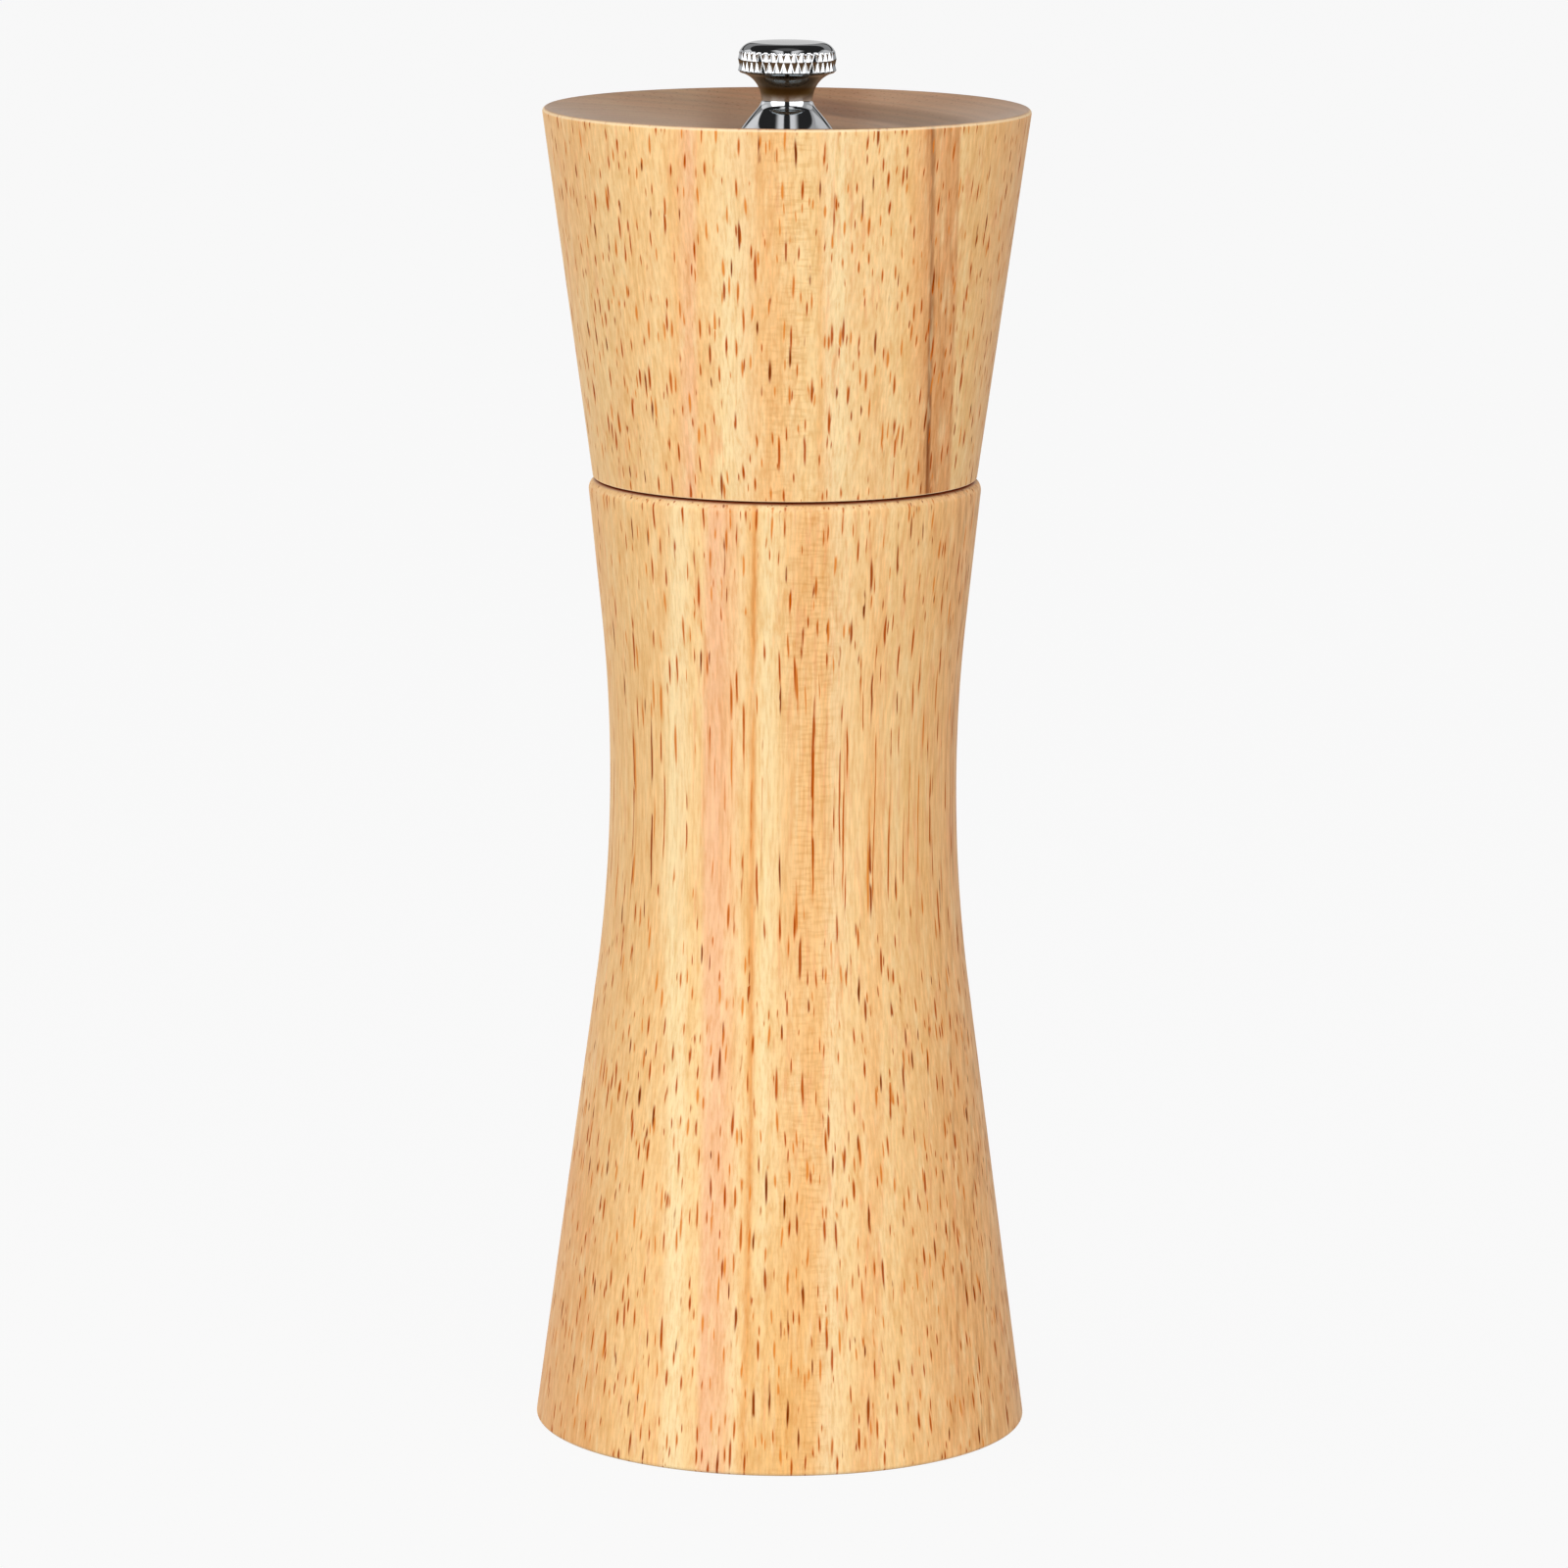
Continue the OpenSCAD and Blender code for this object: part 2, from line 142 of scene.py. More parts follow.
def rounded(before, corner, after, radius, steps=8):
    """Points that round a corner between its two neighbours to the given radius."""
    b = Vector(corner)
    u = (Vector(before) - b).normalized()
    v = (Vector(after) - b).normalized()
    half = math.acos(max(-1.0, min(1.0, u.dot(v)))) / 2
    centre = b + (u + v).normalized() * radius / math.sin(half)
    p = b + u * radius / math.tan(half) - centre
    q = b + v * radius / math.tan(half) - centre
    start = math.degrees(math.atan2(p.y, p.x))
    turn = (math.degrees(math.atan2(q.y, q.x)) - start + 540) % 360 - 180
    return arc(centre, radius, start, start + turn, steps)


def line(start, end, steps):
    """Points that divide a straight line into steps, without its two ends."""
    return [tuple(Vector(start).lerp(Vector(end), i / steps)) for i in range(1, steps)]


def mesh_object(name, vertices, faces, sharp_degrees=SHARP_DEGREES):
    mesh = bpy.data.meshes.new(name)
    mesh.from_pydata(vertices, [], faces)
    work = bmesh.new()
    work.from_mesh(mesh)
    bmesh.ops.remove_doubles(work, verts=work.verts, dist=1e-7)
    bmesh.ops.dissolve_degenerate(work, edges=work.edges, dist=1e-8)
    bmesh.ops.recalc_face_normals(work, faces=work.faces)
    work.to_mesh(mesh)
    work.free()
    mesh.shade_smooth()
    mesh.set_sharp_from_angle(angle=math.radians(sharp_degrees))
    obj = bpy.data.objects.new(name, mesh)
    bpy.context.scene.collection.objects.link(obj)
    return obj


def lathe(name, outline, segments, shape=None, sharp_degrees=SHARP_DEGREES):
    """Turns a closed outline of (r, z) points in millimetres around the axis. Where shape is
    given, it says how far out a point of the outline is at each angle."""
    count = len(outline)
    vertices = []
    for i in range(segments):
        a = 2 * math.pi * i / segments
        for r, z in outline:
            radius = shape(r, z, a) if shape else r
            vertices.append((radius * math.cos(a) * MM, radius * math.sin(a) * MM, z * MM))
    faces = []
    for i in range(segments):
        here, there = i * count, (i + 1) % segments * count
        for j in range(count):
            k = (j + 1) % count
            faces.append((here + j, there + j, there + k, here + k))
    return mesh_object(name, vertices, faces, sharp_degrees)


def body_outline():
    top = box_mm("body_shell")[1].z
    housing = box_mm("mill_housing")[1]
    bush_low, bush_high = box_mm("neck_bush")
    centre = Vector((WAIST_R + WAIST_CURVE_R, WAIST_Z))
    a_low = math.degrees(math.atan(LOWER_FLARE))
    a_high = math.degrees(math.atan(UPPER_FLARE))
    waist = arc(centre, WAIST_CURVE_R, 180 + a_low, 180 - a_high, 40)
    foot = (waist[0][0] + LOWER_FLARE * waist[0][1], 0.0)
    brim = (waist[-1][0] + UPPER_FLARE * (top - waist[-1][1]), top)
    recess_r = housing.x + RECESS_GAP
    bore_top = housing.z + HOUSING_HEADROOM
    flange_r = bush_high.x
    seat = bush_high.z - BUSH_FLANGE_H
    return (
        [(recess_r, RECESS_CHAMFER), (recess_r + RECESS_CHAMFER, 0.0)]
        + rounded((recess_r, 0), foot, waist[0], BASE_EDGE_R)
        + line(foot, waist[0], 6)
        + waist
        + line(waist[-1], brim, 3)
        + rounded(waist[-1], brim, (flange_r, top), BODY_EDGE_R, 12)
        + [(flange_r, top), (flange_r, seat), (BUSH_SOCKET_R, seat), (BUSH_SOCKET_R, bush_low.z)]
        + [(CHAMBER_R, bush_low.z), (CHAMBER_R, bore_top), (HOUSING_BORE_R, bore_top)]
        + [(HOUSING_BORE_R, RECESS_H), (recess_r, RECESS_H)]
    )


def head_outline():
    low, high = box_mm("head_shell")
    ferrule_low, ferrule_high = box_mm("top_ferrule")
    bottom = low.z + TENON_L
    rim = (RIM_R, high.z)
    foot = (HEAD_FOOT_R, bottom)
    dish_rim_r = RIM_R - RIM_EDGE_R
    curve_r = (dish_rim_r ** 2 + DISH_DEPTH ** 2) / (2 * DISH_DEPTH)
    centre_z = high.z - DISH_DEPTH + curve_r
    rim_angle = math.degrees(math.asin(dish_rim_r / curve_r))
    flat_angle = math.degrees(math.asin(DISH_FLAT_R / curve_r))
    return (
        [(SHAFT_BORE_R, low.z), (TENON_R - TENON_CHAMFER, low.z), (TENON_R, low.z + TENON_CHAMFER)]
        + [(TENON_R, bottom)]
        + rounded((TENON_R, bottom), foot, rim, HEAD_EDGE_R)
        + line(foot, rim, 8)
        + rounded(foot, rim, (dish_rim_r / 2, high.z), RIM_EDGE_R, 12)
        + arc((0, centre_z), curve_r, 270 + rim_angle, 270 + flat_angle, 24)
        + [(ferrule_high.x, ferrule_high.z), (ferrule_high.x, ferrule_low.z)]
        + [(SHAFT_BORE_R, ferrule_low.z)]
    )


def knob_outline():
    low, high = box_mm("knob")
    base, top = low.z, high.z
    foot_r = high.x
    foot_top = (foot_r, base + KNOB_FOOT_H)
    neck_z = base + NECK_H
    neck_corner = (KNOB_NECK_R, neck_z - NECK_CORNER_DROP)
    reach = KNOB_NECK_R + THROAT_R
    throat_end = math.degrees(math.acos((reach - KNOB_R + SHOULDER_LIP) / THROAT_R))
    throat = arc((reach, neck_z), THROAT_R, 180, 180 - throat_end, 24)
    band_low = (KNOB_R, throat[-1][1] + SHOULDER_LIP)
    brow = (KNOB_R, top - KNOB_CROWN)
    crown = rounded(band_low, brow, (0, top), CROWN_R, 40)
    cap_z = top - KNOB_CAP_T
    return (
        [(THREAD_BORE_R, base), (foot_r - KNOB_CHAMFER, base), (foot_r, base + KNOB_CHAMFER), foot_top]
        + rounded(foot_top, neck_corner, (KNOB_NECK_R, neck_z), NECK_FILLET_R, 16)
        + throat[1:]
        + [band_low]
        + line(band_low, crown[0], 24)
        + crown
        + line(crown[-1], (0, top), 3)
        + [(0.0, top), (0.0, cap_z), (THREAD_BORE_R, cap_z)]
    )


def triangle_wave(t):
    return 1 - 2 * abs(t - round(t))


def knurled(outline):
    """Two crossed sets of slanting grooves, cut before the crown is turned over them."""
    low = next(z for r, z in outline if r == KNOB_R)
    middle = low + KNURL_BAND_H / 2

    def shape(r, z, a):
        across = KNURLS * a / (2 * math.pi)
        along = (z - middle) / KNURL_BAND_H
        if abs(along) > 0.5 or r < KNOB_R - KNURL_DEPTH:
            return r
        pyramid = min(triangle_wave(across + along), triangle_wave(across - along))
        return min(r, KNOB_R - KNURL_DEPTH * (1 - pyramid))

    return shape


def coil(name, low_z, high_z, radius, wire, turns):
    """A round wire wound into a compression spring, with closer end turns."""
    steps = int(turns * COIL_SEGMENTS)
    low, rise = low_z + wire, high_z - low_z - 2 * wire
    vertices, faces = [], []
    for i in range(steps + 1):
        t = i / steps
        a = 2 * math.pi * turns * t
        z = low + rise * (t - END_TURN_PITCH * math.sin(2 * math.pi * t) / (2 * math.pi))
        for j in range(WIRE_SEGMENTS):
            b = 2 * math.pi * j / WIRE_SEGMENTS
            r = radius + wire * math.cos(b)
            vertices.append((r * math.cos(a) * MM, r * math.sin(a) * MM,
                             (z + wire * math.sin(b)) * MM))
    for i in range(steps):
        here, there = i * WIRE_SEGMENTS, (i + 1) * WIRE_SEGMENTS
        for j in range(WIRE_SEGMENTS):
            k = (j + 1) % WIRE_SEGMENTS
            faces.append((here + j, there + j, there + k, here + k))
    faces.append(tuple(range(WIRE_SEGMENTS)))
    faces.append(tuple(steps * WIRE_SEGMENTS + j for j in range(WIRE_SEGMENTS)))
    return mesh_object(name, vertices, faces)


# ---------------------------------------------------------------- node trees

def srgb(red, green, blue):
    """A colour given as the eye sees it, 0 to 255, as the shader wants it."""
    def one(v):
        v /= 255
        return v / 12.92 if v <= 0.04045 else ((v + 0.055) / 1.055) ** 2.4
    return (one(red), one(green), one(blue), 1.0)


class Tree:
    """A material's node tree, with one short call for each kind of node."""

    def __init__(self, name):
        self.material = bpy.data.materials.new(name)
        self.material.use_nodes = True
        self.nodes = self.material.node_tree.nodes
        self.links = self.material.node_tree.links
        self.shader = next(n for n in self.nodes if n.type == "BSDF_PRINCIPLED")
        coordinates = self.nodes.new("ShaderNodeTexCoord")
        self.normal = coordinates.outputs["Normal"]
        self.place = self.vector("SCALE", coordinates.outputs["Object"], scale=1 / MM)

    def plug(self, socket, value):
        if isinstance(value, bpy.types.NodeSocket):
            self.links.new(value, socket)
        elif value is not None:
            socket.default_value = value

    def math(self, operation, a, b=None, c=None):
        node = self.nodes.new("ShaderNodeMath")
        node.operation = operation
        for socket, value in zip(node.inputs, (a, b, c)):
            self.plug(socket, value)
        return node.outputs[0]

    def vector(self, operation, a, b=None, scale=None):
        node = self.nodes.new("ShaderNodeVectorMath")
        node.operation = operation
        self.plug(node.inputs[0], a)
        self.plug(node.inputs[1], b)
        if scale is not None:
            self.plug(node.inputs["Scale"], scale)
        return node.outputs["Value" if operation == "LENGTH" else "Vector"]

    def part(self, vector, axis):
        """One coordinate of a vector, or one channel of a colour."""
        node = self.nodes.new("ShaderNodeSeparateXYZ")
        self.plug(node.inputs[0], vector)
        return node.outputs[axis]

    def off_axis(self, vector):
        """How far a place is from the Z axis."""
        return self.vector("LENGTH", self.vector("MULTIPLY", vector, (1, 1, 0)))

    def stretched(self, x, y, z, vector=None, shift=(0, 0, 0)):
        """The place, scaled along each axis: waves per millimetre."""
        scaled = self.vector("MULTIPLY", vector or self.place, (x, y, z))
        return self.vector("ADD", scaled, shift)

    def noise(self, vector, detail=2.0, roughness=0.5, colour=False):
        node = self.nodes.new("ShaderNodeTexNoise")
        self.plug(node.inputs["Vector"], vector)
        node.inputs["Scale"].default_value = 1.0
        node.inputs["Detail"].default_value = detail
        node.inputs["Roughness"].default_value = roughness
        return node.outputs["Color" if colour else "Fac"]

    def ramp(self, value, stops):
        """Colours, or grey levels given as one number, at their places from 0 to 1."""
        node = self.nodes.new("ShaderNodeValToRGB")
        ramp = node.color_ramp
        while len(ramp.elements) < len(stops):
            ramp.elements.new(0.5)
        for element, (at, colour) in zip(ramp.elements, stops):
            element.position = at
            element.color = colour if isinstance(colour, tuple) else (colour,) * 3 + (1.0,)
        self.plug(node.inputs[0], value)
        return node.outputs[0]

    def between(self, value, low, high, to_low=0.0, to_high=1.0):
        """Eases from to_low to to_high as the value goes from low to high."""
        node = self.nodes.new("ShaderNodeMapRange")
        node.interpolation_type = "SMOOTHSTEP"
        for socket, v in zip(node.inputs, (value, low, high, to_low, to_high)):
            self.plug(socket, v)
        return node.outputs[0]

    def mix(self, share, a, b, blend="MIX"):
        node = self.nodes.new("ShaderNodeMix")
        node.data_type = "RGBA"
        node.blend_type = blend
        self.plug(node.inputs[0], share)
        self.plug(node.inputs[6], a)
        self.plug(node.inputs[7], b)
        return node.outputs[2]

    def tinted(self, colour, tint):
        return self.mix(1.0, colour, tint, "MULTIPLY")

    def bump(self, height, strength, distance):
        node = self.nodes.new("ShaderNodeBump")
        node.inputs["Strength"].default_value = strength
        node.inputs["Distance"].default_value = distance
        self.plug(node.inputs["Height"], height)
        self.plug(self.shader.inputs["Normal"], node.outputs[0])

    def finish(self, colour, roughness, **constants):
        self.plug(self.shader.inputs["Base Color"], colour)
        self.plug(self.shader.inputs["Roughness"], roughness)
        for name, value in constants.items():
            self.shader.inputs[name.replace("_", " ")].default_value = value
        return self.material


# ---------------------------------------------------------------- wood

# Growth bands across the front, as (millimetres along X, colour)
HALF_WIDTH = 32.0
STRAW, GOLD, TAN, PEACH = (246, 205, 147), (244, 197, 136), (243, 192, 131), (244, 192, 142)
CREAM, PALE, ROSE = (248, 217, 165), (246, 209, 157), (242, 187, 142)
AMBER, ORANGE, BROWN, BARK = (239, 182, 122), (226, 152, 80), (222, 162, 108), (146, 84, 42)
BODY_BANDS = [
    (-30.0, AMBER), (-24.0, AMBER), (-22.0, TAN), (-19.0, GOLD), (-17.5, GOLD), (-15.0, GOLD),
    (-13.6, CREAM), (-12.2, CREAM), (-11.5, STRAW), (-10.2, STRAW), (-9.4, ROSE), (-7.6, ROSE),
    (-6.4, PEACH), (-5.4, PALE), (-4.4, GOLD), (-3.8, ORANGE), (-3.3, STRAW), (-2.4, CREAM),
    (-0.5, STRAW), (1.5, TAN), (4.6, TAN), (6.2, PALE), (8.8, STRAW), (10.8, TAN), (12.0, TAN),
    (12.8, STRAW), (15.0, GOLD), (18.0, TAN), (22.0, AMBER), (30.0, AMBER),
]
HEAD_BANDS = [
    (-30.0, GOLD), (-25.0, TAN), (-21.0, STRAW), (-18.5, GOLD), (-15.5, STRAW), (-13.0, TAN),
    (-12.2, PEACH), (-11.2, ROSE), (-10.2, GOLD), (-9.0, STRAW), (-7.0, CREAM), (-4.5, PALE),
    (-2.6, TAN), (-0.6, TAN), (1.8, STRAW), (3.8, STRAW), (4.4, TAN), (5.2, PALE), (7.0, CREAM),
    (9.0, STRAW), (12.8, STRAW), (14.6, GOLD), (16.0, AMBER), (17.2, BROWN), (17.5, BARK),
    (17.7, BARK), (17.95, BROWN), (20.7, BROWN), (20.95, STRAW), (22.8, GOLD), (24.2, TAN),
    (30.0, AMBER),
]
BANDS_Y = 22.0  # the bands lie where BODY_BANDS and HEAD_BANDS say on a surface this far forward

# Painted glow: a warmer orange low on the body's front
PAINTED_FOOT_GLOW = srgb(238, 180, 108)
BROAD_STREAK = srgb(240, 188, 130)
SMEAR = srgb(236, 166, 112)
PALE_FLECK = srgb(250, 222, 172)
FILLED_PORE = (srgb(224, 136, 54), srgb(194, 92, 20))
FILLED_CORE = srgb(160, 62, 0)
OPEN_PORE = (srgb(184, 80, 6), srgb(144, 56, 0))
OPEN_CORE = srgb(108, 42, 0)
# Pale edges: partly wear, partly a painted highlight on the rounded edges
RUBBED_EDGE_AND_HIGHLIGHT = srgb(252, 230, 190)
# Painted shade: a dark brown for the shadow in the gap between head and body
SEAM_PAINTED_SHADE = srgb(150, 58, 4)

# The dish's end grain: growth rings about a pith beside the axis, with one dark ring
PITH = (-10.0, -5.0)
DARK_RING_R = 30.0
END_GRAIN = srgb(218, 174, 138)
# Painted sheen: the dish's front is made paler
END_GRAIN_PAINTED_SHEEN = srgb(232, 200, 172)
# Painted shade: the dish is darkened round the knob's foot
END_GRAIN_PAINTED_SHADE = srgb(144, 98, 60)


def wander(t, vector, waves, reach, shift):
    """Moves a place sideways by up to reach millimetres, differently from point to point."""
    drift = t.noise(t.stretched(*waves, vector, shift), 1.0, colour=True)
    drift = t.vector("SUBTRACT", drift, (0.5, 0.5, 0.5))
    return t.vector("ADD", vector, t.vector("MULTIPLY", drift, (2 * reach, 2 * reach, 0)))


def pores(t, trunk, shift, pitch, size, share):
    """Long tubes up the trunk. Returns how far inside one a point is, for the whole pore and
    for its core, and a random number for each pore."""
    place = wander(t, trunk, (0.05, 0.05, 0.04), 0.7, shift)
    place = wander(t, place, (1.3, 1.3, 0.25), 0.12, shift)
    cells = t.nodes.new("ShaderNodeTexVoronoi")
    cells.voronoi_dimensions = "2D"
    cells.inputs["Scale"].default_value = 1.0
    t.plug(cells.inputs["Vector"],
           t.stretched(1 / pitch[0], 1 / pitch[1], 0, place, shift))
    pick, width, tone = (t.part(cells.outputs["Color"], axis) for axis in range(3))
    radius = t.math("MULTIPLY_ADD", width, size * 0.6, size * 0.4)
    reach = t.math("DIVIDE", cells.outputs["Distance"], radius)
    here = t.math("LESS_THAN", pick, share)
    gaps = t.noise(t.stretched(0.7, 0.7, 0.12, trunk, shift), 2.0)
    here = t.math("MULTIPLY", here, t.between(gaps, 0.40, 0.47))
    whole = t.math("MULTIPLY", t.between(reach, 1.0, 0.4), here)
    core = t.math("MULTIPLY", t.between(reach, 0.62, 0.2), here)
    return whole, core, tone


def banded(t, trunk, bands, ring, painted_glow_share):
    """The growth bands, with a painted warm glow low in the middle of the front."""
    along = t.math("MULTIPLY_ADD", ring, 0.5 / HALF_WIDTH, 0.5)
    stops = [((x + HALF_WIDTH) / (2 * HALF_WIDTH), srgb(*c)) for x, c in bands]
    colour = t.ramp(along, stops)
    # Painted glow along one band, low on the body
    glow = t.math("MULTIPLY", t.between(t.math("ABSOLUTE", ring), 5.6, 2.6),
                  t.between(t.part(trunk, 2), 42.0, 6.0, 0.0, painted_glow_share))
    return t.mix(glow, colour, PAINTED_FOOT_GLOW)


def streaked(t, trunk, shift, colour):
    """Streaks within the bands, from broad to hair-fine. Returns the finest too."""
    broad = t.noise(t.stretched(0.5, 0.16, 0.01, trunk, shift), 2.0)
    colour = t.mix(t.between(broad, 0.4, 0.72, 0.0, 0.4), colour, BROAD_STREAK)
    smears = t.noise(t.stretched(1.5, 0.8, 0.1, trunk, shift), 2.0, 0.6)
    smears = t.between(smears, 0.54, 0.70, 0.0, 0.55)
    blush = t.noise(t.stretched(0.16, 0.1, 0.006, trunk, shift), 1.0)
    smears = t.math("MULTIPLY", smears, t.between(blush, 0.42, 0.56))
    colour = t.mix(smears, colour, SMEAR)
    flecks = t.noise(t.stretched(1.1, 0.8, 0.05, trunk, shift), 2.0, 0.6)
    colour = t.tinted(colour, t.ramp(flecks, [(0.32, srgb(247, 240, 228)), (0.5, 1.0),
                                              (0.68, srgb(252, 249, 244))]))
    colour = t.mix(t.between(flecks, 0.52, 0.72, 0.0, 0.4), colour, PALE_FLECK)
    fibre = t.noise(t.stretched(3.0, 3.0, 0.3, trunk, shift), 3.0, 0.6)
    colour = t.tinted(colour, t.ramp(fibre, [(0.3, srgb(243, 229, 210)),
                                             (0.5, srgb(250, 254, 255)), (0.7, 1.1)]))
    return colour, fibre


def heart_streaked(t, trunk, shift, colour, ring, heart):
    """Darker and lighter lines in the heartwood, between the two heart lines."""
    streaks = t.noise(t.stretched(2.2, 0.6, 0.008, trunk, shift), 3.0, 0.65)
    streaks = t.ramp(streaks, [(0.3, srgb(222, 206, 190)), (0.47, 1.0), (0.7, 1.08)])
    in_heart = t.math("MULTIPLY", t.between(ring, heart[0] - 1.0, heart[0] + 0.5),
                      t.between(ring, heart[1] + 0.2, heart[1]))
    return t.mix(in_heart, colour, t.tinted(colour, streaks))


def rayed(t, trunk, shift, colour, ring, ripple_x):
    """Rays: fine level ripples, strongest where the cut lies along them."""
    rays = t.noise(t.stretched(0.42, 0.8, 2.2, trunk, shift), 1.0, 0.5)
    ripple = t.ramp(rays, [(0.36, srgb(243, 232, 216)), (0.5, 1.0), (0.64, 1.03)])
    off_ripple = t.math("ABSOLUTE", t.math("SUBTRACT", ring, ripple_x))
    fitful = t.noise(t.stretched(0.3, 0.3, 0.04, trunk, shift), 1.0)
    strength = t.math("MULTIPLY", t.between(off_ripple, 4.6, 1.2), t.between(fitful, 0.35, 0.6))
    strength = t.math("MULTIPLY_ADD", strength, 0.6, 0.08)
    return t.mix(strength, colour, t.tinted(colour, ripple))


def pored(t, trunk, colour):
    """Most pores are filled and pale, with a browner core, and some are open and dark.
    Returns where the filled and the open ones are too."""
    filled, core, tone = pores(t, trunk, shift=(11.3, 4.1, 0), pitch=(0.86, 0.94), size=0.28,
                               share=0.92)
    colour = t.mix(t.math("MULTIPLY", filled, 0.95), colour, t.mix(tone, *FILLED_PORE))
    core = t.math("MULTIPLY", core, t.between(tone, 0.1, 0.9, 0.0, 0.9))
    colour = t.mix(core, colour, FILLED_CORE)
    dark, core, tone = pores(t, trunk, shift=(37.7, 9.2, 0), pitch=(1.4, 1.7), size=0.19,
                             share=0.75)
    colour = t.mix(t.math("MULTIPLY", dark, 0.95), colour, t.mix(tone, *OPEN_PORE))
    core = t.math("MULTIPLY", core, t.between(tone, 0.5, 1.0, 0.0, 0.9))
    return t.mix(core, colour, OPEN_CORE), filled, dark


def end_grain_colour_and_painted_light(t, trunk, colour):
    """The dish: browner than the sides and darker along one growth ring, with a painted sheen that
    makes its front paler, painted shade in a band behind the knob and painted shade round the knob's
    foot.
    """
    dull = t.tinted(colour, srgb(204, 188, 178))
    dull = t.mix(0.6, dull, END_GRAIN)
    # Painted sheen: paler towards the front of the dish
    dull = t.mix(t.between(t.part(trunk, 1), 20.0, 8.0, 0.0, 0.45), dull, END_GRAIN_PAINTED_SHEEN)
    # Painted shade: a darker band through the middle of the dish, where the knob stands and behind it
    aside = t.math("ABSOLUTE", t.part(trunk, 0))
    dull = t.mix(t.between(aside, 13.0, 7.0), dull, t.tinted(dull, srgb(230, 215, 198)))
    from_pith = t.off_axis(t.vector("ADD", trunk, (-PITH[0], -PITH[1], 0)))
    off_ring = t.math("ABSOLUTE", t.math("SUBTRACT", from_pith, DARK_RING_R))
    dark_ring = t.math("MULTIPLY", t.between(off_ring, 4.2, 2.4),
                       t.between(t.part(trunk, 0), -2.0, 6.0))
    dull = t.mix(dark_ring, dull, t.tinted(dull, srgb(216, 208, 198)))
    rings = t.noise(t.vector("MULTIPLY", from_pith, (0.5, 0.5, 0)), 3.0)
    dull = t.tinted(dull, t.ramp(rings, [(0.35, 0.86), (0.62, 1.06)]))
    # Painted shade: darker round the knob's foot, near the axis
    return t.mix(t.between(t.off_axis(trunk), 12.0, 7.0, 0.0, 0.6), dull, END_GRAIN_PAINTED_SHADE)


def rubbed_edges_and_seam_shade(t, colour, up, edge_wear_and_highlight):
    """Sharp edges are rubbed pale, partly wear and partly a painted highlight, and painted shade
    darkens the seam near its mouth, where the gap between head and body lies in shadow.
    """
    # Rounded edges, lightened for wear and for a painted highlight
    edge = t.math("MULTIPLY", t.between(up, 0.2, 0.4), t.between(up, 0.9, 0.7))
    colour = t.mix(t.math("MULTIPLY", edge, edge_wear_and_highlight), colour, RUBBED_EDGE_AND_HIGHLIGHT)
    seam_z = box_mm("body_shell")[1].z
    off_seam = t.math("ABSOLUTE", t.math("SUBTRACT", t.part(t.place, 2), seam_z))
    # Painted shade: the seam's faces near its mouth are darkened for the shadow in the gap
    seam_shade = t.math("MULTIPLY", t.between(off_seam, 0.35, 0.15), t.between(up, 0.85, 0.97))
    seam_shade = t.math("MULTIPLY", seam_shade, t.between(t.off_axis(t.place), 20.2, 22.4))
    return t.mix(t.math("MULTIPLY", seam_shade, 0.95), colour, SEAM_PAINTED_SHADE)


def wood(name, bands, shift, ring_r, ripple_x, heart, edge_wear_and_highlight, painted_glow_share, coat):
    """Lacquered rubberwood, cut from one solid: growth bands of radius ring_r stand across X,
    and pores run along Z. ripple_x and heart are millimetres along X."""
    t = Tree(name)
    trunk = wander(t, t.place, (0.012, 0.012, 0.012), 0.35, shift)
    ring = t.math("SUBTRACT", t.off_axis(t.vector("ADD", trunk, (ring_r, BANDS_Y, 0))), ring_r)
    colour = banded(t, trunk, bands, ring, painted_glow_share)
    colour, fibre = streaked(t, trunk, shift, colour)
    colour = heart_streaked(t, trunk, shift, colour, ring, heart)
    colour = rayed(t, trunk, shift, colour, ring, ripple_x)
    colour, filled, dark = pored(t, trunk, colour)

    # End grain drinks more lacquer; the dish also takes painted shade and a painted sheen
    up = t.math("ABSOLUTE", t.part(t.normal, 2))
    end_grain = t.between(up, 0.7, 0.97)
    colour = t.mix(end_grain, colour, end_grain_colour_and_painted_light(t, trunk, colour))
    colour = rubbed_edges_and_seam_shade(t, colour, up, edge_wear_and_highlight)

    roughness = t.math("MULTIPLY_ADD", fibre, 0.12, 0.38)
    roughness = t.math("MULTIPLY_ADD", dark, 0.25, roughness)
    roughness = t.math("MULTIPLY_ADD", end_grain, 0.08, roughness)
    height = t.math("MULTIPLY_ADD", dark, -0.8, fibre)
    height = t.math("MULTIPLY_ADD", filled, -0.35, height)
    t.bump(height, 0.2, 0.00005)

    # Pores shine less. The value on the socket itself is what an export without the link keeps.
    gloss = t.math("MULTIPLY", t.math("SUBTRACT", 1.0, filled), t.math("SUBTRACT", 1.0, dark))
    t.shader.inputs["Specular IOR Level"].default_value = 0.2
    t.plug(t.shader.inputs["Specular IOR Level"], t.math("MULTIPLY_ADD", gloss, 0.18, 0.02))
    t.plug(t.shader.inputs["Coat Weight"], t.math("MULTIPLY", end_grain, coat))
    return t.finish(colour, roughness, Coat_Roughness=0.3)


# ---------------------------------------------------------------- metal, nylon and ceramic

